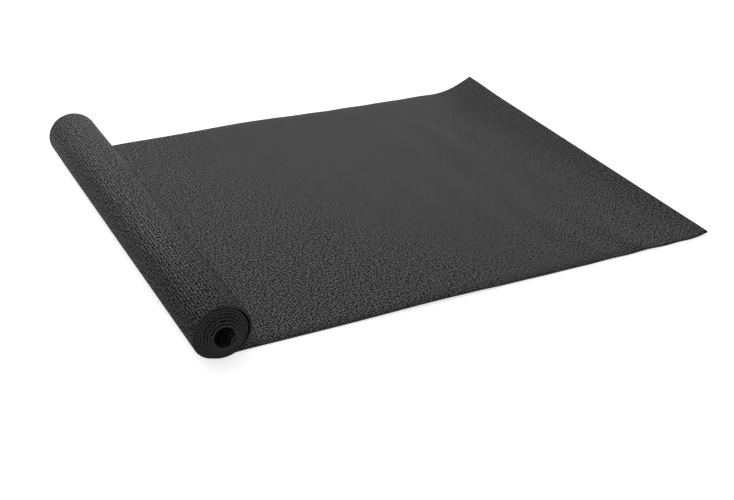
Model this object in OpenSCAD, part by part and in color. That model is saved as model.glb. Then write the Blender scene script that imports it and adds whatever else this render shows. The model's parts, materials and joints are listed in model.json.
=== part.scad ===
// Exercise mat of foamed PVC on a polyester scrim, laid out and partly rolled up.
// The sheet lies flat along +X. It passes under its roll at the -X end, climbs round
// the roll's left side and winds inwards. Length runs along X, width along Y, +Z is up.
// The origin is on the underside, in the middle of the laid part.
// The rolled part is a row of narrow strips, each hinged to the next at mid-thickness,
// so the roll opens out by turning every hinge in step. The free end curls up in the
// same way, along three lines that fan out towards the back corner.

/* [Mat] */
// Length of the whole mat, unrolled
mat_length = 1730; // [1200:10:2000]
// Width of the mat
mat_width = 610; // [400:10:800]
// Thickness of the sheet
sheet_t = 3; // [2.5:0.1:6]
// Thickness of the scrim in the middle of the sheet
scrim_t = 0.3; // [0.2:0.05:0.5]

/* [Roll] */
// Length that lies flat, from under the roll to the free end
laid_length = 714; // [400:2:900]
// Diameter of the open bore in the middle of the roll
bore_d = 21.5; // [12:0.5:40]
// Air left between one turn and the next
turn_gap = 0.2; // [0.2:0.05:1]
// How far the loose outer turn stands off on its right side
loose_turn = 2.5; // [0:0.1:5]
// Heading at which the outer turn comes loose, in degrees round the roll
loose_from = 190; // [180:5:240]
// Degrees of the outer turn that are loose
loose_span = 160; // [110:5:170]
// How far the roll stands forward of the laid part
skew = 9; // [0:1:15]
// Degrees of the outer turn over which the sheet moves forward
skew_span = 100; // [60:10:360]
// How far the core stands out past the outer turn at the front end
telescope = 4; // [0:1:20]

/* [Free end] */
// Depth of the curled free end at its back corner
curl_back = 79; // [40:1:140]
// Depth of the curled free end at its front corner
curl_front = 14; // [9:1:40]
// Turn of the sheet at each of the free end's hinge lines
curl_step = 8.5; // [0:0.5:12]

/* [Joints] */
// Air left on each side of a hinge line
hinge_gap = 0.08; // [0.05:0.01:0.15]

/* [Hidden] */
// Number of hinged strips in the roll
strip_count = 54;
// Number of hinged strips in the curled free end
end_count = 3;
// Flats along each skin of a strip
strip_flats = 6;

foam_colour = "#3b3c3d";
scrim_colour = "#8c8a84";

half_t = sheet_t / 2;
half_w = mat_width / 2;
foot_x = -laid_length / 2;
end_x = laid_length / 2;

// The roll is an even spiral: its radius falls by one pitch a turn.
pitch = sheet_t + turn_gap;
fall_deg = pitch / 360;
fall_rad = pitch / (2 * PI);
wound_length = mat_length - laid_length - loose_turn * loose_span * PI / 360;
core_r = bore_d / 2 + half_t;
roll_r = sqrt(core_r * core_r + pitch * wound_length / PI);
last_heading = (roll_r - core_r) / fall_deg;

function two_digits(i) = str(i < 10 ? "0" : "", i);
function strip_name(i) = str("turn_strip_", two_digits(i + 1));
function end_name(i) = str("end_strip_", i + 1);

// Heading of the sheet at hinge i of the roll: 0 where it leaves the floor, 90 where it
// points straight up. The steps grow inwards, so that every strip bows by the same amount.
function spread(r) = pow(r, 1.5);
function hinge_heading(i) =
    (roll_r - pow(spread(roll_r) - i / strip_count * (spread(roll_r) - spread(core_r)), 2 / 3))
    / fall_deg;

// Turn of hinge i between the rolled mat and the flat mat
function hinge_turn(i) = (hinge_heading(i + 1) - hinge_heading(max(i - 1, 0))) / 2;

function sheet_radius(h) = roll_r - fall_deg * h;
function along(h) = [-cos(h), sin(h)];
function inward(h) = [sin(h), cos(h)];

// The loose stretch swells outwards and dies away at both ends. Its slope and its bend are
// the first and the second rate of change of the swell, per radian of heading.
loose_rate = 360 / loose_span;
function is_loose(h) = h > loose_from && h < loose_from + loose_span;
function loose_phase(h) = loose_rate * (h - loose_from);
function swell(h) = is_loose(h) ? loose_turn * (1 - cos(loose_phase(h))) / 2 : 0;
function swell_slope(h) = is_loose(h) ? loose_turn * loose_rate / 2 * sin(loose_phase(h)) : 0;
function swell_bend(h) = is_loose(h) ? loose_turn * pow(loose_rate, 2) / 2 * cos(loose_phase(h)) : 0;

// Radius to which the sheet is bent at heading h, at mid-thickness
function bend_radius(h) = sheet_radius(h) + swell(h) + swell_bend(h);

// Mid-thickness of the sheet at heading h, in the XZ plane
function mid_line(h) =
    let (rad = h * PI / 180)
    [foot_x, half_t]
    + [fall_rad * (rad * sin(h) + cos(h) - 1) - roll_r * sin(h),
       fall_rad * (rad * cos(h) - sin(h)) + roll_r * (1 - cos(h))]
    - swell(h) * inward(h)
    + swell_slope(h) * along(h);

// A skin of the sheet: side 1 faces the bore, side -1 faces out
function skin(h, side) = mid_line(h) + side * half_t * inward(h);
function arc(from, to, side) = [for (j = [0 : strip_flats]) skin(from + (to - from) * j / strip_flats, side)];

// A length of sheet at heading h, as degrees of heading at a given skin
function degrees_of(length, h, side) = length / (bend_radius(h) - side * half_t) * 180 / PI;

// The outer half of each end leans back by half the hinge's turn, so it closes when the
// mat is flat. At the first hinge the strip leans back for both sides.
function lean_back(i) = half_t * tan(i == 0 ? hinge_turn(0) : hinge_turn(i) / 2) + hinge_gap;

function strip_outline(i) =
    let (
        a = hinge_heading(i),
        b = hinge_heading(i + 1),
        last = i == strip_count - 1,
        a_gap = degrees_of(hinge_gap, a, 0),
        b_gap = last ? 0 : degrees_of(hinge_gap, b, 0)
    )
    concat(
        arc(a + degrees_of(lean_back(i), a, -1),
            b - (last ? 0 : degrees_of(lean_back(i + 1), b, -1)), -1),
        [mid_line(b - b_gap)],
        arc(b - (last ? 0 : degrees_of(hinge_gap, b, 1)), a + degrees_of(hinge_gap, a, 1), 1),
        [mid_line(a + a_gap)]
    );

// How far the sheet has moved towards the front at heading h
function lead(h) = skew * min(h / skew_span, 1) + telescope * h / last_heading;

module turn_strip(i) {
    color(foam_colour)
        translate([0, half_w - lead(hinge_heading(i + 0.5)), 0])
            rotate([90, 0, 0])
                linear_extrude(height = mat_width)
                    polygon(strip_outline(i));
}

// Hinge line k of the free end, from its front point to its back point, laid flat
function fan(k, depth) = end_x - depth * (1 - k / end_count);
function front_of(k) = [fan(k, curl_front), -half_w];
function back_of(k) = [fan(k, curl_back), half_w];

module laid_layer(z, height) {
    gap = [hinge_gap, 0];
    translate([0, 0, z])
        linear_extrude(height = height)
            polygon([[foot_x, -half_w] + gap, front_of(0) - gap, back_of(0) - gap, [foot_x, half_w] + gap]);
}

foam_t = (sheet_t - scrim_t) / 2;

module laid_foam_base() {
    color(foam_colour) laid_layer(0, foam_t);
}

module laid_scrim() {
    color(scrim_colour) laid_layer(foam_t, scrim_t);
}

module laid_foam_top() {
    color(foam_colour) laid_layer(foam_t + scrim_t, foam_t);
}

// Turns its children up about hinge line k, which lies in the sheet's top face
module turned_up(k) {
    p = front_of(k);
    q = back_of(k);
    translate([p[0], p[1], sheet_t])
        rotate(a = -curl_step, v = [q[0] - p[0], q[1] - p[1], 0])
            translate([-p[0], -p[1], -sheet_t])
                children();
}

module on_hinge_lines(k) {
    if (k < 0) children();
    else on_hinge_lines(k - 1) turned_up(k) children();
}

module end_strip(i) {
    gap = [hinge_gap, 0];
    far_gap = i == end_count - 1 ? [0, 0] : gap;
    color(foam_colour)
        on_hinge_lines(i)
            linear_extrude(height = sheet_t)
                polygon([front_of(i) + gap, front_of(i + 1) - far_gap, back_of(i + 1) - far_gap, back_of(i) + gap]);
}

laid_foam_base();
laid_scrim();
laid_foam_top();
for (i = [0 : strip_count - 1]) turn_strip(i);
for (i = [0 : end_count - 1]) end_strip(i);
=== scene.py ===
import json
import logging
import math
from dataclasses import dataclass, field
from enum import Enum
from typing import Iterable, Union

import bpy
from mathutils import Matrix, Vector


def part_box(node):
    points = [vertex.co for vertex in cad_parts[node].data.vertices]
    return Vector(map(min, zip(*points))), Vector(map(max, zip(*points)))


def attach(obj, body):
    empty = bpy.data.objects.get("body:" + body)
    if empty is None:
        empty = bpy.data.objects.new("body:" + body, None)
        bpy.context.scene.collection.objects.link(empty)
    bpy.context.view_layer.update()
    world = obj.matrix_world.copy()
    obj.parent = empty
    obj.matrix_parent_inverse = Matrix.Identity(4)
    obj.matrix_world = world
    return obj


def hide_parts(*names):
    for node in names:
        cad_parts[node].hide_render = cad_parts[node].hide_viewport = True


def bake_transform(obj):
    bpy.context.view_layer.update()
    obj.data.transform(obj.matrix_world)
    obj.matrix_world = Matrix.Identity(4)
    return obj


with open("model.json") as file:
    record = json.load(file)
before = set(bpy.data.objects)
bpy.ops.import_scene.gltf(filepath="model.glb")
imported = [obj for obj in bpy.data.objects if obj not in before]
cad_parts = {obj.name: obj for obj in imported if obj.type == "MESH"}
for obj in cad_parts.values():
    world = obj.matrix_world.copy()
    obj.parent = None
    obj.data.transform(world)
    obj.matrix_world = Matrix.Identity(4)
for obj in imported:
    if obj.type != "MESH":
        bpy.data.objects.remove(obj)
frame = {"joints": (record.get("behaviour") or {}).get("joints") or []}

LOG = logging.getLogger("exercise_mat")
MM = 0.001
TAU = 2 * math.pi

# The sheet between the middles of two strips straightens evenly if it turns a quarter of
# the way at its start and three quarters at its end, which a smooth step does at this reach.
BLEND_REACH = 1.445

# Red, green and blue of a grey with a hint of cold.
COLD = (0.985, 0.995, 1.01)
WHITE = (1.0, 1.0, 1.0, 1.0)

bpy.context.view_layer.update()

Number = Union["Wire", float]


class Slot(Enum):
    """Material slots of the record."""

    FOAM = "foam"
    SCRIM = "scrim"


class Held(Enum):
    """How a stretch of the mat is held."""

    LAID = "laid"
    WOUND = "folded"


class Wire:
    """One number in a node tree, with the arithmetic that a formula needs."""

    def __init__(self, tree: bpy.types.NodeTree, socket: bpy.types.NodeSocket) -> None:
        """Keeps the tree and the socket that the number comes from."""
        self.tree = tree
        self.socket = socket

    def math(self, operation: str, *others: Number) -> "Wire":
        """Passes this number and others through one Math node.

        Args:
            operation: the Math node's operation.
            others: the second and third number, where the operation has them.

        Returns:
            The node's result.
        """
        node = self.tree.nodes.new("ShaderNodeMath")
        node.operation = operation
        for slot, value in zip(node.inputs, (self, *others)):
            plug(self.tree, slot, value)
        return Wire(self.tree, node.outputs[0])

    def __add__(self, other: Number) -> "Wire":
        """Sum."""
        return self.math("ADD", other)

    def __radd__(self, other: float) -> "Wire":
        """Sum with a plain number on the left."""
        return self.math("ADD", other)

    def __sub__(self, other: Number) -> "Wire":
        """Difference."""
        return self.math("SUBTRACT", other)

    def __rsub__(self, other: float) -> "Wire":
        """Difference with a plain number on the left."""
        return (-self).math("ADD", other)

    def __mul__(self, other: Number) -> "Wire":
        """Product."""
        return self.math("MULTIPLY", other)

    def __rmul__(self, other: float) -> "Wire":
        """Product with a plain number on the left."""
        return self.math("MULTIPLY", other)

    def __truediv__(self, other: Number) -> "Wire":
        """Quotient."""
        return self.math("DIVIDE", other)

    def __rtruediv__(self, other: float) -> "Wire":
        """Quotient with a plain number on top."""
        return self.math("POWER", -1.0) * other

    def __neg__(self) -> "Wire":
        """The number with its sign turned."""
        return self.math("MULTIPLY", -1.0)

    def sin(self) -> "Wire":
        """Sine, of radians."""
        return self.math("SINE")

    def cos(self) -> "Wire":
        """Cosine, of radians."""
        return self.math("COSINE")

    def sqrt(self) -> "Wire":
        """Square root."""
        return self.math("SQRT")

    def over(self, other: Number) -> "Wire":
        """Compares this number with another.

        Args:
            other: the number to compare with.

        Returns:
            1 where this number is the greater, else 0.
        """
        return self.math("GREATER_THAN", other)

    def within(self, low: Number, high: Number) -> "Wire":
        """Keeps this number between two others.

        Args:
            low: the least result.
            high: the greatest result.

        Returns:
            The number, clipped.
        """
        return self.math("MAXIMUM", low).math("MINIMUM", high)

    def ease(self, low: Number, high: Number) -> "Wire":
        """A smooth step.

        Args:
            low: where the rise starts.
            high: where it ends.

        Returns:
            0 below low and 1 above high, with a smooth rise between them.
        """
        share = ((self - low) / (high - low)).within(0.0, 1.0)
        return share * share * (3.0 - 2.0 * share)


def plug(tree: bpy.types.NodeTree, slot: bpy.types.NodeSocket, value: object) -> None:
    """Gives a node's input a wire, a socket or a plain value.

    Args:
        tree: the tree that holds the node.
        slot: the input.
        value: what goes in.
    """
    if isinstance(value, Wire):
        tree.links.new(value.socket, slot)
    elif isinstance(value, bpy.types.NodeSocket):
        tree.links.new(value, slot)
    else:
        slot.default_value = value


def add_node(tree: bpy.types.NodeTree, kind: str, inputs: dict, **options: object) -> bpy.types.Node:
    """Adds a node with its options and inputs.

    Args:
        tree: the tree that gets the node.
        kind: the node's type.
        inputs: the value of each named input that differs from its default.
        options: the node's own properties.

    Returns:
        The new node.
    """
    node = tree.nodes.new(kind)
    for name, value in options.items():
        setattr(node, name, value)
    for name, value in inputs.items():
        slot = next(s for s in node.inputs if s.name == name and s.enabled)
        plug(tree, slot, value)
    return node


@dataclass(frozen=True)
class MatSizes:
    """Driving sizes of the mat, in metres, read off the frame where it has them."""

    length: float = 1730 * MM
    bore: float = 21.5 * MM
    turn_gap: float = 0.2 * MM
    loose_rise: float = 2.5 * MM
    loose_from: float = math.radians(190)
    loose_span: float = math.radians(160)
    skew: float = 9 * MM
    skew_from: float = -35 * MM
    skew_to: float = 62 * MM
    telescope: float = 4 * MM
    curl_back: float = 79 * MM
    curl_front: float = 14 * MM
    strips: int = 54
    curl_strips: int = 3
    rib_pitch: float = 3.66 * MM
    dash_pitch: float = 3.5 * MM
    groove: float = 0.05 * MM
    edge_round: float = 0.35 * MM
    edge_land: float = 0.6 * MM
    scrim: float = 0.3 * MM

    @property
    def thickness(self) -> float:
        """Thickness of the sheet."""
        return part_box("laid_foam_top")[1].z

    @property
    def width(self) -> float:
        """Width of the mat."""
        low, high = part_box("laid_foam_top")
        return high.y - low.y

    @property
    def laid(self) -> float:
        """Length that lies flat, curled end included."""
        return -2 * self.foot_x

    @property
    def foot_x(self) -> float:
        """Where the sheet leaves the floor to climb round the roll."""
        first = next(j for j in frame["joints"] if j["name"] == "unroll")
        return first["pos_m"][0]

    @property
    def half(self) -> float:
        """Half of the thickness."""
        return self.thickness / 2

    @property
    def fall(self) -> float:
        """How far the roll's radius falls for each radian of heading."""
        return (self.thickness + self.turn_gap) / TAU

    @property
    def core_radius(self) -> float:
        """Radius of the innermost turn, at mid-thickness."""
        return self.bore / 2 + self.half

    @property
    def wound(self) -> float:
        """Length in the roll, without what the loose stretch takes up."""
        return self.length - self.laid - self.loose_rise * self.loose_span / 2

    @property
    def roll_radius(self) -> float:
        """Radius of the outermost turn, at mid-thickness."""
        return math.sqrt(self.core_radius**2 + 2 * self.fall * self.wound)

    @property
    def last_heading(self) -> float:
        """Heading at the mat's inner end, in radians round the roll."""
        return (self.roll_radius - self.core_radius) / self.fall

    def heading(self, arc: float) -> float:
        """Heading of the sheet at a place in the roll.

        Args:
            arc: length of sheet past the foot of the roll.

        Returns:
            The heading in radians.
        """
        return (self.roll_radius - math.sqrt(self.roll_radius**2 - 2 * self.fall * arc)) / self.fall

    def arc(self, heading: float) -> float:
        """Length of sheet from the foot of the roll to a heading.

        Args:
            heading: the heading in radians.

        Returns:
            The length.
        """
        return self.roll_radius * heading - self.fall * heading**2 / 2

    def hinge_heading(self, index: float) -> float:
        """Heading at a hinge of the roll, counted from the foot.

        Args:
            index: the hinge's number; a half lies in the middle of a strip.

        Returns:
            The heading in radians.
        """
        outer, inner = self.roll_radius**1.5, self.core_radius**1.5
        radius = (outer - index / self.strips * (outer - inner)) ** (2 / 3)
        return (self.roll_radius - radius) / self.fall

    def shared(self) -> dict:
        """The inputs that the laid and the wound stretch have in common."""
        return {"Width": self.width, "Low": -self.half, "High": self.half, "Groove": self.groove,
                "Rib Pitch": self.rib_pitch, "Edge Round": self.edge_round, "Edge Land": self.edge_land,
                "Foot X": self.foot_x, "Half": self.half, "Skew": self.skew, "Skew From": self.skew_from,
                "Skew To": self.skew_to}

    def on_groove(self, arc: float) -> float:
        """Finds the rib groove that is nearest to a place.

        Args:
            arc: length along the sheet.

        Returns:
            The groove's own length along the sheet.
        """
        return round(arc / self.rib_pitch) * self.rib_pitch


class SheetTree:
    """A geometry tree that cuts a flat closed blank and bends it by a formula."""

    numbers = ("Columns", "Rows")
    common = ("Width", "Low", "High", "Groove", "Rib Pitch", "Edge Round", "Edge Land", "Foot X", "Half",
              "Skew", "Skew From", "Skew To")
    sizes: tuple[str, ...] = ()

    # Share of the width, from the middle, past which a point lies on a long edge.
    edge_from = 0.499
    # Share of the half thickness past which a face is an outer one and so has ribs.
    skin_from = 0.9
    # Half of the share of its depth that every other groove loses.
    shallow = 0.22
    # Greatest upright part of the direction in which a cut face looks.
    upright = 0.5
    weld = 0.01 * MM
    crease = math.radians(40)

    def __init__(self, name: str) -> None:
        """Makes the tree, its inputs and all of its nodes.

        Args:
            name: the tree's name.
        """
        self.tree = bpy.data.node_groups.new(name, "GeometryNodeTree")
        faces = self.tree.interface
        faces.new_socket(name="Geometry", in_out="INPUT", socket_type="NodeSocketGeometry")
        faces.new_socket(name="Geometry", in_out="OUTPUT", socket_type="NodeSocketGeometry")
        for label in self.numbers:
            faces.new_socket(name=label, in_out="INPUT", socket_type="NodeSocketInt")
        for label in self.common + self.sizes:
            faces.new_socket(name=label, in_out="INPUT", socket_type="NodeSocketFloat")
        for label in ("Skin", "Cut"):
            faces.new_socket(name=label, in_out="INPUT", socket_type="NodeSocketMaterial")
        self.given = self.tree.nodes.new("NodeGroupInput")
        self.build()

    def size(self, name: str) -> Wire:
        """Finds one of the tree's inputs.

        Args:
            name: the input's name.

        Returns:
            The input as a number.
        """
        return Wire(self.tree, self.given.outputs[name])

    def make(self, kind: str, inputs: dict, **options: object) -> bpy.types.Node:
        """Adds a node to this tree, with what add_node takes and returns."""
        return add_node(self.tree, kind, inputs, **options)

    def blank(self) -> bpy.types.NodeSocket:
        """A closed slab, one unit square and one unit high, with an even grid on both faces."""
        grid = self.make("GeometryNodeMeshGrid", {"Size X": 1.0, "Size Y": 1.0,
                                                  "Vertices X": self.given.outputs["Columns"],
                                                  "Vertices Y": self.given.outputs["Rows"]})
        raised = self.make("GeometryNodeExtrudeMesh", {"Mesh": grid.outputs["Mesh"], "Individual": False,
                                                       "Offset": (0.0, 0.0, 1.0)}, mode="FACES")
        turned = self.make("GeometryNodeFlipFaces", {"Mesh": grid.outputs["Mesh"]})
        both = self.make("GeometryNodeJoinGeometry", {"Geometry": raised.outputs["Mesh"]})
        self.tree.links.new(turned.outputs["Mesh"], both.inputs["Geometry"])
        closed = self.make("GeometryNodeMergeByDistance", {"Geometry": both.outputs["Geometry"],
                                                           "Distance": self.weld})
        return closed.outputs["Geometry"]

    def store(self, mesh: bpy.types.NodeSocket, name: str, value: object, kind: str,
              domain: str) -> bpy.types.NodeSocket:
        """Stores a named attribute on a mesh.

        Args:
            mesh: the mesh's socket.
            name: the attribute's name.
            value: what it holds.
            kind: its data type.
            domain: where it lies.

        Returns:
            The mesh with the attribute.
        """
        node = self.make("GeometryNodeStoreNamedAttribute", {"Geometry": mesh, "Name": name, "Value": value},
                         data_type=kind, domain=domain)
        return node.outputs["Geometry"]

    def place(self) -> tuple[Wire, Wire, Wire]:
        """Where each point of the blank is: its share along, its share across and its face."""
        here = self.make("GeometryNodeInputPosition", {})
        split = self.make("ShaderNodeSeparateXYZ", {"Vector": here.outputs[0]})
        along, across, up = (Wire(self.tree, s) for s in split.outputs)
        return along + 0.5, across, up

    def across(self, share: Wire) -> Wire:
        """Spreads the points across the mat, with one narrow land along each long edge.

        Args:
            share: share of the blank's width, from its middle.

        Returns:
            The distance across, from the middle of the mat.
        """
        rows = self.size("Rows") - 1.0
        land = self.size("Edge Land") / self.size("Width")
        inner_edge = 0.5 - 1.0 / rows
        inner = share * ((0.5 - land) / inner_edge)
        inner = inner.within(land - 0.5, 0.5 - land)
        outer = (share.math("ABSOLUTE") - inner_edge).math("MAXIMUM", 0.0) * share.math("SIGN")
        return (inner + outer * rows * land) * self.size("Width")

    def groove(self, arc: Wire) -> Wire:
        """Depth of the rib grooves below the skin: every other groove is a little shallower.

        Args:
            arc: distance along the mat from the foot of the roll.

        Returns:
            The depth.
        """
        turn = arc * (TAU / self.size("Rib Pitch"))
        alternate = (1.0 - self.shallow) + self.shallow * (turn * 0.5).cos()
        return self.size("Groove") * (0.5 + 0.5 * turn.cos()) * alternate

    def offset(self, share: Wire, up: Wire, arc: Wire) -> Wire:
        """How far a point stands off the mid-line: ribbed faces, with their long edges eased.

        Args:
            share: share of the width, from the middle.
            up: 0 on the lower face of the blank and 1 on the upper one.
            arc: distance along the mat from the foot of the roll.

        Returns:
            The distance off the mid-line.
        """
        edge = share.math("ABSOLUTE").over(self.edge_from)
        face = self.size("Low") + (self.size("High") - self.size("Low")) * up
        outer = face.math("ABSOLUTE").over(self.size("Half") * self.skin_from)
        worn = outer * (self.groove(arc) + edge * self.size("Edge Round"))
        return face - worn * face.math("SIGN")

    def drift(self, arc: Wire) -> Wire:
        """How far the sheet has moved towards the front.

        Args:
            arc: distance along the mat from the foot of the roll.

        Returns:
            The distance moved.
        """
        return self.size("Skew") * arc.ease(self.size("Skew From"), self.size("Skew To"))

    def bend(self, along: Wire, share: Wire, up: Wire) -> tuple[Wire, tuple[Wire, Wire, Wire]]:
        """Bends the blank; each kind of sheet has its own way, with these arguments and results."""
        raise NotImplementedError

    def build(self) -> None:
        """Lays the whole tree out."""
        along, share, up = self.place()
        arc, spot = self.bend(along, share, up)
        facing = self.make("GeometryNodeInputNormal", {})
        facing = self.make("ShaderNodeSeparateXYZ", {"Vector": facing.outputs[0]})
        wall = Wire(self.tree, facing.outputs[2]).math("ABSOLUTE").math("LESS_THAN", self.upright)
        flat_place = self.make("ShaderNodeCombineXYZ", {"X": arc, "Y": spot[1]})
        mesh = self.store(self.blank(), "sheet_uv", flat_place.outputs[0], "FLOAT2", "CORNER")
        mesh = self.store(mesh, "through", up, "FLOAT", "POINT")
        mesh = self.store(mesh, "wall", wall, "BOOLEAN", "FACE")
        position = self.make("ShaderNodeCombineXYZ", dict(zip("XYZ", spot)))
        moved = self.make("GeometryNodeSetPosition", {"Geometry": mesh, "Position": position.outputs[0]})
        angle = self.make("GeometryNodeInputMeshEdgeAngle", {})
        sharp = Wire(self.tree, angle.outputs[0]).over(self.crease)
        smooth = self.make("GeometryNodeSetShadeSmooth", {"Geometry": moved.outputs[0],
                                                          "Shade Smooth": True})
        edged = self.make("GeometryNodeSetShadeSmooth", {"Geometry": smooth.outputs[0], "Selection": sharp,
                                                         "Shade Smooth": False}, domain="EDGE")
        real = self.make("GeometryNodeRealizeInstances", {"Geometry": edged.outputs[0]})
        skinned = self.make("GeometryNodeSetMaterial", {"Geometry": real.outputs[0],
                                                        "Material": self.given.outputs["Skin"]})
        chosen = self.make("GeometryNodeInputNamedAttribute", {"Name": "wall"}, data_type="BOOLEAN")
        cut = self.make("GeometryNodeSetMaterial", {"Geometry": skinned.outputs[0],
                                                    "Selection": chosen.outputs["Attribute"],
                                                    "Material": self.given.outputs["Cut"]})
        out = self.tree.nodes.new("NodeGroupOutput")
        self.tree.links.new(cut.outputs[0], out.inputs[0])

    def cut_piece(self, name: str, values: dict) -> bpy.types.Object:
        """Runs the tree with one set of values.

        Args:
            name: the new piece's name.
            values: the value of each input, by name.

        Returns:
            A plain mesh object at the origin.
        """
        piece = bpy.data.objects.new(name, bpy.data.meshes.new(name + "_seed"))
        bpy.context.scene.collection.objects.link(piece)
        modifier = piece.modifiers.new("sheet", "NODES")
        modifier.node_group = self.tree
        for item in self.tree.interface.items_tree:
            if item.in_out == "INPUT" and item.name in values:
                modifier[item.identifier] = values[item.name]
        graph = bpy.context.evaluated_depsgraph_get()
        done = bpy.data.meshes.new_from_object(piece.evaluated_get(graph), preserve_all_data_layers=True,
                                               depsgraph=graph)
        piece.modifiers.clear()
        piece.data = done
        done.name = name
        LOG.info("%s: %d faces", name, len(done.polygons))
        return piece


class WoundTree(SheetTree):
    """The sheet in the roll: an even spiral with one loose stretch and a straight inner end."""

    sizes = ("From", "To", "Roll Radius", "Fall", "Loose Rise", "Loose From", "Loose Span", "Lean",
             "Core Out", "Core From", "Wound", "Tail", "Tail Lift")
    # Brings the hump x (1 - x) (1 - x) up to 1 at its peak.
    hump = 27 / 4

    def bend(self, along: Wire, share: Wire, up: Wire) -> tuple[Wire, tuple[Wire, Wire, Wire]]:
        """Winds a flat point into the spiral.

        Args:
            along: share of the piece's length.
            share: share of the width, from the middle.
            up: 0 on the outer face and 1 on the face towards the bore.

        Returns:
            The distance along the mat from the foot of the roll, and the point's place.
        """
        arc = self.size("From") + (self.size("To") - self.size("From")) * along
        radius, fall = self.size("Roll Radius"), self.size("Fall")
        heading = (radius - (radius * radius - 2.0 * fall * arc).sqrt()) / fall
        sine, cosine = heading.sin(), heading.cos()
        rate = TAU / self.size("Loose Span")
        past = heading - self.size("Loose From")
        loose = past.over(0.0) * (1.0 - past.over(self.size("Loose Span")))
        swell = loose * self.size("Loose Rise") * (1.0 - (rate * past).cos()) * 0.5
        slope = loose * self.size("Loose Rise") * rate * (rate * past).sin() * 0.5
        to_end = ((self.size("Wound") - arc) / self.size("Tail")).within(0.0, 1.0)
        tail = self.size("Tail Lift") * self.hump * to_end * (1.0 - to_end) * (1.0 - to_end)
        inward = self.offset(share, up, arc) + tail - swell
        x = self.size("Foot X") + fall * (heading * sine + cosine - 1.0) - radius * sine
        x = x + inward * sine - slope * cosine
        z = self.size("Half") + fall * (heading * cosine - sine) + radius * (1.0 - cosine)
        z = z + inward * cosine + slope * sine
        core = (heading - self.size("Core From")).math("MAXIMUM", 0.0)
        y = -self.across(share) - self.size("Lean") * heading - self.size("Core Out") * core
        y = y - self.drift(arc)
        return arc, (x, y, z)


@dataclass(frozen=True)
class Ripple:
    """A slow change of the waves from place to place."""

    reach: float
    across: float
    along: float

    def at(self, back: Wire, out: Wire) -> Wire:
        """Size of the change at a place.

        Args:
            back: share of the width, 1 at the back edge.
            out: distance from the foot of the roll, in metres.

        Returns:
            The change.
        """
        return (back * self.across + out * self.along).sin() * self.reach


class LaidTree(SheetTree):
    """The sheet on the floor: a slow crest, the waves that winding has left, and the curled end."""

    sizes = ("From Front", "From Back", "To Front", "To Back", "Length", "Curl Front", "Curl Back",
             "Crest", "Crest At", "Crest Reach", "Wave", "Wave Length", "Wave At", "Bend Share",
             "Curl Angle Front", "Curl Angle Back", "Curl Bulge", "Edge Lift", "Edge Reach")

    crest_in_front = 0.62
    wave_at_edges = 0.3
    # Where the waves reach their full height, as a share of the place of their first crest.
    wave_full = 1.9
    wave_fade = 20 * MM
    edge_rise = 100 * MM
    sways = (Ripple(0.9, 7.0, 0.0), Ripple(0.5, 17.0, 9.0))
    wave_mean = 0.75
    wave_change = Ripple(0.45, 11.0, 23.0)

    def bend(self, along: Wire, share: Wire, up: Wire) -> tuple[Wire, tuple[Wire, Wire, Wire]]:
        """Lays a flat point on the floor.

        Args:
            along: share of the piece's length.
            share: share of the width, from the middle.
            up: 0 on the underside and 1 on the top.

        Returns:
            The distance along the mat from the foot of the roll, below 0, and the point's place.
        """
        y = self.across(share)
        back = y / self.size("Width") + 0.5
        low = self.size("From Front") + (self.size("From Back") - self.size("From Front")) * back
        high = self.size("To Front") + (self.size("To Back") - self.size("To Front")) * back
        out = low + (high - low) * along
        depth = self.size("Curl Front") + (self.size("Curl Back") - self.size("Curl Front")) * back
        fold = self.size("Length") - depth
        past = out - fold
        bend = depth * self.size("Bend Share")
        middle = 1.0 - 4.0 * (back - 0.5) * (back - 0.5)
        most = self.size("Curl Angle Front") * (1.0 - back) + self.size("Curl Angle Back") * back
        most = most + self.size("Curl Bulge") * middle
        angle = most * (past / bend).within(0.0, 1.0)
        arm = (past - bend).math("MAXIMUM", 0.0)
        radius = bend / most
        lift = radius * (1.0 - angle.cos()) + arm * most.sin()
        reach = fold + past.math("MINIMUM", 0.0) + radius * angle.sin() + arm * most.cos()
        crest = ((out - self.size("Crest At")) / self.size("Crest Reach"))
        tilt = self.crest_in_front + (1.0 - self.crest_in_front) * back
        crest = self.size("Crest") * (crest * crest * -1.0).math("EXPONENT") * tilt
        first, spacing = self.size("Wave At"), self.size("Wave Length")
        swell = out.ease(first - 2.0 * spacing, first * self.wave_full)
        swell = swell * (1.0 - out.ease(fold - self.wave_fade, fold + self.wave_fade))
        swell = swell * (self.wave_at_edges + (1.0 - self.wave_at_edges) * middle)
        sway = self.sways[0].at(back, out) + self.sways[1].at(back, out)
        wave = (out - first) * (TAU / spacing) + sway
        swell = swell * (self.wave_mean + self.wave_change.at(back, out))
        edge = back.ease(1.0 - self.size("Edge Reach") / self.size("Width"), 1.0)
        edge = edge * out.ease(0.0, self.edge_rise)
        lift = lift + crest + self.size("Wave") * swell * (1.0 + wave.cos()) + self.size("Edge Lift") * edge
        off = self.offset(share, up, out)
        x = self.size("Foot X") + reach - off * angle.sin()
        z = self.size("Half") + lift + off * angle.cos()
        return out * -1.0, (x, y - self.drift(out * -1.0), z)


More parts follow.
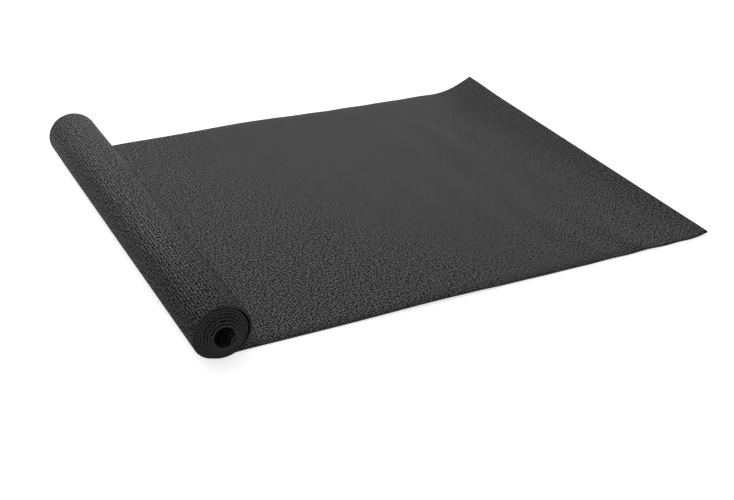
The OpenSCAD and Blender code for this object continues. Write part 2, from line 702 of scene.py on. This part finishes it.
def shader_group(name: str, inputs: dict,
                 outputs: Iterable[str]) -> tuple[bpy.types.NodeTree, dict, bpy.types.Node]:
    """Starts a shader group with named number inputs.

    Args:
        name: the group's name.
        inputs: the default of each number input, by name.
        outputs: the names of the number outputs.

    Returns:
        The group, its inputs as wires, and its output node.
    """
    tree = bpy.data.node_groups.new(name, "ShaderNodeTree")
    tree.interface.new_socket(name="Vector", in_out="INPUT", socket_type="NodeSocketVector")
    for label, value in inputs.items():
        socket = tree.interface.new_socket(name=label, in_out="INPUT", socket_type="NodeSocketFloat")
        socket.default_value = value
    for label in outputs:
        tree.interface.new_socket(name=label, in_out="OUTPUT", socket_type="NodeSocketFloat")
    given = tree.nodes.new("NodeGroupInput")
    wires = {label: Wire(tree, given.outputs[label]) for label in ("Vector", *inputs)}
    return tree, wires, tree.nodes.new("NodeGroupOutput")


def emboss_group() -> bpy.types.NodeTree:
    """The embossed rows of short pips: a height, and a mask of the grooves between them."""
    usual = {"Row Pitch": MatSizes.rib_pitch, "Pip Pitch": MatSizes.dash_pitch, "Ragged": 0.35,
             "Drift Scale": 240.0, "Row Drift": 0.4, "Crumb Scale": 420.0, "Crumb Height": 1.7,
             "Row Height": 0.3, "Pip Height": 0.35}
    tree, given, out = shader_group("emboss", usual, ("Height", "Groove"))
    split = add_node(tree, "ShaderNodeSeparateXYZ", {"Vector": given["Vector"]})
    rows = Wire(tree, split.outputs[0]) / given["Row Pitch"]
    pips = Wire(tree, split.outputs[1]) / given["Pip Pitch"]
    drift = add_node(tree, "ShaderNodeTexNoise", {"Vector": given["Vector"], "Scale": given["Drift Scale"],
                                                  "Detail": 2.0}, noise_dimensions="2D")
    wander = (Wire(tree, drift.outputs[0]) - 0.5) * given["Ragged"]
    crumb = add_node(tree, "ShaderNodeTexNoise", {"Vector": given["Vector"], "Scale": given["Crumb Scale"],
                                                  "Detail": 4.0}, noise_dimensions="2D")
    row = 0.5 - 0.5 * ((rows + wander * given["Row Drift"]) * TAU).cos()
    odd = (rows.math("FLOOR") * 0.5).math("FRACT")
    pip = 0.5 - 0.5 * ((pips + odd + wander) * TAU).cos()
    height = row * (given["Row Height"] + given["Pip Height"] * pip)
    height = height + (Wire(tree, crumb.outputs[0]) - 0.5) * given["Crumb Height"]
    plug(tree, out.inputs["Height"], height)
    plug(tree, out.inputs["Groove"], (1.0 - row * (0.5 + 0.5 * pip)).within(0.0, 1.0))
    return tree


def mottle_group() -> bpy.types.NodeTree:
    """Slow patches and fine specks in a tone, both round 0."""
    tree, given, out = shader_group("mottle", {"Patch Scale": 9.0, "Speck Scale": 430.0}, ("Patch", "Speck"))
    patch = add_node(tree, "ShaderNodeTexNoise", {"Vector": given["Vector"], "Scale": given["Patch Scale"],
                                                  "Detail": 3.0})
    speck = add_node(tree, "ShaderNodeTexNoise", {"Vector": given["Vector"], "Scale": given["Speck Scale"],
                                                  "Detail": 3.0})
    plug(tree, out.inputs["Patch"], (Wire(tree, patch.outputs[0]) - 0.5) * 2.0)
    plug(tree, out.inputs["Speck"], (Wire(tree, speck.outputs[0]) - 0.5) * 2.0)
    return tree


def foam_cell_group() -> bpy.types.NodeTree:
    """The open cells of cut foam: a height, and a mask of their hollows, which the cut face darkens as
    painted shade.
    """
    usual = {"Cell Scale": 2600.0, "Rim": 0.6, "Hollow From": 0.1, "Hollow To": 0.5}
    tree, given, out = shader_group("foam_cells", usual, ("Height", "Hollow"))
    cells = add_node(tree, "ShaderNodeTexVoronoi", {"Vector": given["Vector"], "Scale": given["Cell Scale"]})
    near = Wire(tree, cells.outputs["Distance"])
    plug(tree, out.inputs["Height"], near.within(0.0, given["Rim"]))
    plug(tree, out.inputs["Hollow"], 1.0 - near.ease(given["Hollow From"], given["Hollow To"]))
    return tree


class ShaderKit:
    """The node groups that the finishes share."""

    def __init__(self) -> None:
        """Builds each group once."""
        self.emboss = emboss_group()
        self.mottle = mottle_group()
        self.cells = foam_cell_group()

    @staticmethod
    def use(tree: bpy.types.NodeTree, group: bpy.types.NodeTree, inputs: dict) -> bpy.types.Node:
        """Places a group in a material's tree.

        Args:
            tree: the material's tree.
            group: the group.
            inputs: the inputs that differ from the group's own values, by name.

        Returns:
            The group's node.
        """
        node = tree.nodes.new("ShaderNodeGroup")
        node.node_tree = group
        for name, value in inputs.items():
            plug(tree, node.inputs[name], value)
        return node


def grey(value: float) -> tuple[float, float, float, float]:
    """A neutral colour with a hint of cold.

    Args:
        value: its tone, 0 for black and 1 for white.

    Returns:
        Red, green, blue and full opacity.
    """
    return (*(value * share for share in COLD), 1.0)


def start_material(name: str) -> tuple[bpy.types.Material, bpy.types.NodeTree, bpy.types.Node]:
    """Makes a new material.

    Args:
        name: the material's name.

    Returns:
        The material, its tree and its plain shader.
    """
    material = bpy.data.materials.new(name)
    material.use_nodes = True
    tree = material.node_tree
    return material, tree, tree.nodes["Principled BSDF"]


def tone_between(tree: bpy.types.NodeTree, share: Wire, dark: float, light: float) -> bpy.types.NodeSocket:
    """A grey between two tones.

    Args:
        tree: the material's tree.
        share: 0 for the dark tone and 1 for the light one.
        dark: the dark tone.
        light: the light tone.

    Returns:
        The colour's socket.
    """
    mix = add_node(tree, "ShaderNodeMix", {}, data_type="RGBA")
    plug(tree, mix.inputs[0], share)
    mix.inputs[6].default_value = grey(dark)
    mix.inputs[7].default_value = grey(light)
    return mix.outputs[2]


@dataclass(frozen=True)
class FoamSkin:
    """The embossed satin skin of the foam."""

    name: str
    kit: ShaderKit
    sizes: MatSizes
    dark: float = 0.004
    light: float = 0.05
    shine: float = 0.4
    shine_span: float = 1.7
    roughness: float = 0.42
    sheen_span: float = 0.12
    relief: float = 0.6 * MM
    # Painted shade: how far the colour darkens in the grooves.
    groove_painted_shade: float = 0.3
    patch_tone: float = 0.14
    speck_tone: float = 1.2
    patch_gloss: float = 0.05
    speck_gloss: float = 0.25
    # Painted shade: how far the reflection dims in the grooves.
    groove_painted_reflection_shade: float = 0.32
    gloss_range: tuple[float, float] = (0.25, 0.95)

    def build(self) -> bpy.types.Material:
        """Makes the material: grooves darkened as painted shade, a slow mottle, and gloss that varies with
        the emboss.
        """
        material, tree, shader = start_material(self.name)
        place = add_node(tree, "ShaderNodeUVMap", {}, uv_map="sheet_uv").outputs[0]
        emboss = self.kit.use(tree, self.kit.emboss, {"Vector": place, "Row Pitch": self.sizes.rib_pitch,
                                                      "Pip Pitch": self.sizes.dash_pitch})
        mottle = self.kit.use(tree, self.kit.mottle, {"Vector": place})
        groove = Wire(tree, emboss.outputs["Groove"])
        patch, speck = Wire(tree, mottle.outputs["Patch"]), Wire(tree, mottle.outputs["Speck"])
        # The grooves darken the colour as painted shade; the patches and specks vary the tone at random.
        share = 0.5 - groove * self.groove_painted_shade + patch * self.patch_tone + speck * self.speck_tone
        colour = tone_between(tree, share.within(0.0, 1.0), self.dark, self.light)
        plug(tree, shader.inputs["Base Color"], colour)
        gloss = self.roughness + groove * self.sheen_span
        gloss = gloss + patch * self.patch_gloss - speck * self.speck_gloss
        plug(tree, shader.inputs["Roughness"], gloss.within(*self.gloss_range))
        # The grooves lower the specular level as painted shade on the reflection; the specks vary it at
        # random.
        shine = self.shine + speck * self.shine_span - groove * self.groove_painted_reflection_shade
        plug(tree, shader.inputs["Specular IOR Level"], shine.within(0.0, 1.0))
        bump = add_node(tree, "ShaderNodeBump", {"Height": emboss.outputs["Height"], "Strength": 1.0,
                                                 "Distance": self.relief})
        plug(tree, shader.inputs["Normal"], bump.outputs[0])
        return material


@dataclass(frozen=True)
class CutFoam:
    """The cut edge of the sheet: small open cells, and the scrim as a thin line in the middle."""

    name: str
    kit: ShaderKit
    dark: float = 0.01
    light: float = 0.028
    scrim_tone: float = 0.06
    scrim_share: float = 0.6
    scrim_line: tuple[float, float] = (0.03, 0.06)
    roughness: float = 0.85
    relief: float = 0.1 * MM
    relief_strength: float = 0.6

    def build(self) -> bpy.types.Material:
        """Makes the material from the cells, with painted shade in their hollows, and the depth through the
        sheet.
        """
        material, tree, shader = start_material(self.name)
        place = add_node(tree, "ShaderNodeTexCoord", {}).outputs["Object"]
        cells = self.kit.use(tree, self.kit.cells, {"Vector": place})
        depth = add_node(tree, "ShaderNodeAttribute", {}, attribute_name="through")
        off_middle = (Wire(tree, depth.outputs["Fac"]) - 0.5).math("ABSOLUTE")
        line = 1.0 - off_middle.ease(*self.scrim_line)
        # The cell hollows take the dark tone: painted shade in the pores.
        share = 1.0 - Wire(tree, cells.outputs["Hollow"])
        tone = add_node(tree, "ShaderNodeMix", {}, data_type="RGBA")
        plug(tree, tone.inputs[0], line * self.scrim_share)
        plug(tree, tone.inputs[6], tone_between(tree, share, self.dark, self.light))
        tone.inputs[7].default_value = grey(self.scrim_tone)
        plug(tree, shader.inputs["Base Color"], tone.outputs[2])
        shader.inputs["Roughness"].default_value = self.roughness
        bump = add_node(tree, "ShaderNodeBump", {"Height": cells.outputs["Height"], "Distance": self.relief,
                                                 "Strength": self.relief_strength})
        plug(tree, shader.inputs["Normal"], bump.outputs[0])
        return material


@dataclass(frozen=True)
class ScrimCloth:
    """The open polyester cloth in the middle of the foam."""

    name: str
    dark: float = 0.05
    light: float = 0.22
    thread_pitch: float = 1.2 * MM
    roughness: float = 0.8
    thread_gloss: float = 0.1
    relief: float = 0.1 * MM
    relief_strength: float = 0.5

    def build(self) -> bpy.types.Material:
        """Makes the material: crossing threads, lighter than the gaps between them."""
        material, tree, shader = start_material(self.name)
        place = add_node(tree, "ShaderNodeUVMap", {}, uv_map="sheet_uv").outputs[0]
        split = add_node(tree, "ShaderNodeSeparateXYZ", {"Vector": place})
        warp, weft = (Wire(tree, s) * (TAU / self.thread_pitch) for s in split.outputs[:2])
        threads = (0.5 + 0.5 * warp.cos()).math("MAXIMUM", 0.5 + 0.5 * weft.cos())
        plug(tree, shader.inputs["Base Color"], tone_between(tree, threads, self.dark, self.light))
        plug(tree, shader.inputs["Roughness"], self.roughness + threads * self.thread_gloss)
        bump = add_node(tree, "ShaderNodeBump", {"Height": threads, "Strength": self.relief_strength,
                                                 "Distance": self.relief})
        plug(tree, shader.inputs["Normal"], bump.outputs[0])
        return material


@dataclass
class Finishes:
    """Every material of the mat."""

    sizes: MatSizes
    kit: ShaderKit = field(default_factory=ShaderKit)

    def __post_init__(self) -> None:
        """Builds the materials."""
        self.skin = FoamSkin("foam_skin", self.kit, self.sizes).build()
        self.cut = CutFoam("foam_cut_edge", self.kit).build()
        self.scrim = ScrimCloth("scrim_cloth").build()


@dataclass
class LaidSheet:
    """The stretch on the floor: two layers of foam with the scrim between them, and the curled end."""

    sizes: MatSizes
    finishes: Finishes
    crest: float = 3.2 * MM
    crest_at: float = 285 * MM
    crest_reach: float = 95 * MM
    wave: float = 1.6 * MM
    wave_length: float = 66 * MM
    wave_at: float = 341 * MM
    bend_share: float = 0.75
    curl_angle_front: float = math.radians(11)
    curl_angle_back: float = math.radians(26)
    curl_bulge: float = math.radians(3)
    bent_front: float = 38 * MM
    bent_back: float = 82 * MM
    edge_lift: float = 2.4 * MM
    edge_reach: float = 110 * MM
    straight_end: float = 607 * MM
    scrim_proud: float = 0.1 * MM
    rows: int = 36
    fan_rows: int = 150
    samples: int = 6

    def __post_init__(self) -> None:
        """Builds the geometry tree."""
        self.tree = LaidTree("laid_sheet")

    def values(self) -> dict:
        """The inputs that every piece of this stretch shares."""
        s = self.sizes
        return {**s.shared(), "Length": s.laid, "Curl Front": self.bent_front, "Curl Back": self.bent_back,
                "Crest": self.crest, "Crest At": self.crest_at, "Crest Reach": self.crest_reach,
                "Wave": self.wave,
                "Wave Length": self.wave_length, "Wave At": self.wave_at, "Bend Share": self.bend_share,
                "Curl Angle Front": self.curl_angle_front, "Curl Angle Back": self.curl_angle_back,
                "Curl Bulge": self.curl_bulge, "Edge Lift": self.edge_lift, "Edge Reach": self.edge_reach,
                "Skin": self.finishes.skin, "Cut": self.finishes.cut}

    def fan_line(self, index: float) -> tuple[float, float]:
        """Places a hinge line of the curled end.

        Args:
            index: the line's number; a half lies in the middle of a strip.

        Returns:
            Its distances from the foot of the roll, at the front and at the back edge.
        """
        left = 1 - index / self.sizes.curl_strips
        return self.sizes.laid - self.sizes.curl_front * left, self.sizes.laid - self.sizes.curl_back * left

    def cut(self, name: str, start: tuple[float, float], stop: tuple[float, float], rows: int,
            **other: float) -> bpy.types.Object:
        """Cuts one piece between two lines across the mat.

        Args:
            name: the piece's name.
            start: where its first line is, at the front and at the back edge.
            stop: the same for its last line.
            rows: points across the mat.
            other: inputs that differ from the shared ones.

        Returns:
            The new piece.
        """
        longest = max(b - a for a, b in zip(start, stop))
        columns = round(longest / self.sizes.rib_pitch * self.samples) + 1
        spans = {"From Front": start[0], "From Back": start[1], "To Front": stop[0], "To Back": stop[1]}
        counts = {"Columns": columns, "Rows": rows}
        return self.tree.cut_piece(name, {**self.values(), **spans, **counts, **other})

    def build_layers(self) -> None:
        """Makes the straight stretch in its three layers, all on the laid body."""
        s = self.sizes
        foot, end = (0.0, 0.0), (s.on_groove(self.straight_end),) * 2
        core = s.scrim / 2
        top = self.cut("foam_top", foot, end, self.rows, Low=core)
        base = self.cut("foam_base", foot, end, self.rows, High=-core)
        scrim = self.cut("scrim", foot, end, self.rows, Low=-core, High=core,
                         Width=s.width + 2 * self.scrim_proud,
                         Skin=self.finishes.scrim, Cut=self.finishes.scrim)
        for piece, node, slot in ((top, "laid_foam_top", Slot.FOAM), (base, "laid_foam_base", Slot.FOAM),
                                  (scrim, "laid_scrim", Slot.SCRIM)):
            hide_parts(node)
            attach(piece, "laid_mat")

    def build_curl(self) -> None:
        """Makes the curled free end in three pieces, cut across the mat."""
        s = self.sizes
        start = (s.on_groove(self.straight_end),) * 2
        for index in range(s.curl_strips):
            last = index == s.curl_strips - 1
            stop = self.fan_line(index + 1.0 if last else index + 0.5)
            name = f"free_end_{index + 1}"
            piece = self.cut(name, start, stop, self.fan_rows)
            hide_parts(f"end_strip_{index + 1}")
            front, back = self.fan_line(index)
            line = Vector((back - front, s.width, 0)).normalized()
            middle = Vector((s.foot_x + (front + back) / 2, 0, s.thickness))
            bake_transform(piece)
            depth = (sum(stop) - sum(start)) / 2
            start = stop


@dataclass
class Roll:
    """The wound stretch, in one piece for each hinge."""

    sizes: MatSizes
    finishes: Finishes
    core_out: float = 0.28 * MM
    core_from: float = 3.3 * TAU
    tail: float = 14 * MM
    tail_lift: float = 2.6 * MM
    samples: int = 10
    least_columns: int = 8
    rows: int = 6

    def __post_init__(self) -> None:
        """Builds the geometry tree."""
        self.tree = WoundTree("wound_sheet")

    def values(self) -> dict:
        """The inputs that every piece of the roll shares."""
        s = self.sizes
        return {**s.shared(), "Roll Radius": s.roll_radius, "Fall": s.fall, "Loose Rise": s.loose_rise,
                "Loose From": s.loose_from, "Loose Span": s.loose_span,
                "Lean": s.telescope / s.last_heading, "Core Out": self.core_out, "Core From": self.core_from,
                "Wound": s.wound, "Tail": self.tail, "Tail Lift": self.tail_lift, "Rows": self.rows,
                "Skin": self.finishes.skin, "Cut": self.finishes.cut}

    def seam(self, index: int) -> float:
        """Where the piece of a hinge starts.

        Args:
            index: the piece's number, from 0; one past the last gives the mat's inner end.

        Returns:
            The distance past the foot of the roll.
        """
        if index == 0:
            return 0.0
        if index == self.sizes.strips:
            return self.sizes.wound
        return self.sizes.on_groove(self.sizes.arc(self.sizes.hinge_heading(index - 0.5)))

    def hinge(self, index: int) -> tuple[Vector, Vector]:
        """Finds a hinge of the roll.

        Args:
            index: the hinge's number, from 0.

        Returns:
            Its place, and the direction of the sheet there towards the core.
        """
        name = "unroll" if index == 0 else f"unroll_{index + 1:02d}"
        place = Vector(next(j for j in frame["joints"] if j["name"] == name)["pos_m"])
        heading = self.sizes.hinge_heading(index)
        return place, Vector((-math.cos(heading), 0, math.sin(heading)))

    def build(self) -> None:
        """Makes each piece of the roll, wound into the spiral by the tree."""
        s = self.sizes
        for index in range(s.strips):
            start, stop = self.seam(index), self.seam(index + 1)
            columns = max(self.least_columns, round((stop - start) / s.rib_pitch * self.samples)) + 1
            name = f"wound_{index + 1:02d}"
            spans = {"From": start, "To": stop, "Columns": columns}
            piece = self.tree.cut_piece(name, {**self.values(), **spans})
            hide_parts(f"turn_strip_{index + 1:02d}")
            place, towards = self.hinge(index)
            before = s.arc(s.hinge_heading(index)) - s.arc(s.hinge_heading(max(index - 1, 0)))
            after = s.arc(s.hinge_heading(index + 1)) - s.arc(s.hinge_heading(index))
            if index == 0:
                ends = (place, place + towards * after)
            else:
                step = towards * (before + after) / 2 * BLEND_REACH
                ends = (place - step, place + step)
            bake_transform(piece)
            stop - start


@dataclass(frozen=True)
class Panel:
    """A broad soft light of the room, far off in one direction."""

    azimuth: float
    elevation: float
    strength: float
    tightness: float = 7.4

    def glow(self, tree: bpy.types.NodeTree, facing: bpy.types.NodeSocket) -> Wire:
        """Brightness of this panel in the direction that a ray faces.

        Args:
            tree: the world's tree.
            facing: the ray's direction.

        Returns:
            The brightness, greatest in the middle of the panel.
        """
        turn, rise = math.radians(self.azimuth), math.radians(self.elevation)
        middle = (math.cos(turn) * math.cos(rise), math.sin(turn) * math.cos(rise), math.sin(rise))
        match = add_node(tree, "ShaderNodeVectorMath", {}, operation="DOT_PRODUCT")
        plug(tree, match.inputs[0], facing)
        match.inputs[1].default_value = middle
        near = Wire(tree, match.outputs["Value"])
        return ((near - 1.0) * self.tightness).math("EXPONENT") * self.strength


@dataclass
class Studio:
    """Floor, soft lights and camera."""

    floor_size: float = 30.0
    floor_drop: float = 0.4 * MM
    floor_roughness: float = 0.9
    floor_tone: float = 0.82
    floor_glow: float = 0.7
    lens: float = 56.78
    far_clip: float = 100.0
    camera_at: tuple[float, float, float] = (-0.7371, -1.3272, 0.7207)
    look_at: tuple[float, float, float] = (-0.0911, -0.1505, 0.0)
    roll: float = math.radians(2.22)
    room_dim: float = 0.02
    backdrop: float = 1.15
    panels: tuple[Panel, ...] = (Panel(45, 20, 1.46), Panel(90, 20, 0.35), Panel(120, 50, 1.5),
                                 Panel(180, 25, 0.4), Panel(262, 20, 1.3))
    rear_at: tuple[float, float, float] = (-0.8, 1.95, 1.5)
    rear_size: tuple[float, float] = (0.45, 0.4)
    rear_power: float = 17.0

    def build(self) -> None:
        """Makes everything that isn't part of the mat."""
        self.build_floor()
        self.build_light()
        self.build_camera()

    def build_floor(self) -> None:
        """Makes the pale floor."""
        mesh = bpy.data.meshes.new("floor")
        half = self.floor_size / 2
        corners = [(-half, -half, 0), (half, -half, 0), (half, half, 0), (-half, half, 0)]
        mesh.from_pydata([(x, y, z - self.floor_drop) for x, y, z in corners], [], [(0, 1, 2, 3)])
        floor = bpy.data.objects.new("floor", mesh)
        bpy.context.scene.collection.objects.link(floor)
        material, tree, shader = start_material("floor_paint")
        shader.inputs["Base Color"].default_value = (self.floor_tone,) * 3 + (1.0,)
        shader.inputs["Roughness"].default_value = self.floor_roughness
        shader.inputs["Specular IOR Level"].default_value = 0.0
        shader.inputs["Emission Color"].default_value = WHITE
        seen = Wire(tree, add_node(tree, "ShaderNodeLightPath", {}).outputs["Is Camera Ray"])
        plug(tree, shader.inputs["Emission Strength"], seen * self.floor_glow)
        mesh.materials.append(material)

    def add_area(self, name: str, at: tuple, size: tuple, power: float) -> None:
        """Adds a soft rectangular light that points at the mat.

        Args:
            name: the light's name.
            at: its place.
            size: its width and height.
            power: its power in watts.
        """
        data = bpy.data.lights.new(name, "AREA")
        data.shape = "RECTANGLE"
        data.size, data.size_y = size
        data.energy = power
        lamp = bpy.data.objects.new(name, data)
        lamp.location = at
        lamp.rotation_mode = "QUATERNION"
        lamp.rotation_quaternion = (Vector(at) * -1).to_track_quat("-Z", "Y")
        bpy.context.scene.collection.objects.link(lamp)

    def build_light(self) -> None:
        """Lights the mat from a few broad soft panels of the room, and from one soft box behind it."""
        world = bpy.data.worlds.new("room")
        bpy.context.scene.world = world
        world.use_nodes = True
        tree = world.node_tree
        sky = tree.nodes["Background"]
        facing = add_node(tree, "ShaderNodeTexCoord", {}).outputs["Generated"]
        glow = sum((panel.glow(tree, facing) for panel in self.panels), self.room_dim)
        seen = Wire(tree, add_node(tree, "ShaderNodeLightPath", {}).outputs["Is Camera Ray"])
        plug(tree, sky.inputs[1], glow * (1.0 - seen) + self.backdrop * seen)
        sky.inputs[0].default_value = WHITE
        self.add_area("rear", self.rear_at, self.rear_size, self.rear_power)

    def build_camera(self) -> None:
        """Sets the camera, which leans over a little."""
        data = bpy.data.cameras.new("camera")
        data.lens = self.lens
        data.clip_end = self.far_clip
        camera = bpy.data.objects.new("camera", data)
        bpy.context.scene.collection.objects.link(camera)
        forward = (Vector(self.look_at) - Vector(self.camera_at)).normalized()
        level = forward.cross(Vector((0, 0, 1))).normalized()
        upward = level.cross(forward)
        right = level * math.cos(self.roll) + upward * math.sin(self.roll)
        top = upward * math.cos(self.roll) - level * math.sin(self.roll)
        turn = Matrix((right, top, -forward)).transposed().to_4x4()
        camera.matrix_world = Matrix.Translation(self.camera_at) @ turn
        bpy.context.scene.camera = camera


def main() -> None:
    """Builds the mat and the studio in order."""
    logging.basicConfig(level=logging.INFO, format="%(name)s: %(message)s")
    sizes = MatSizes()
    Studio().build()
    finishes = Finishes(sizes)
    laid = LaidSheet(sizes, finishes)
    laid.build_layers()
    laid.build_curl()
    Roll(sizes, finishes).build()
    bpy.context.scene.view_settings.view_transform = "Standard"


if __name__ == "__main__":
    main()
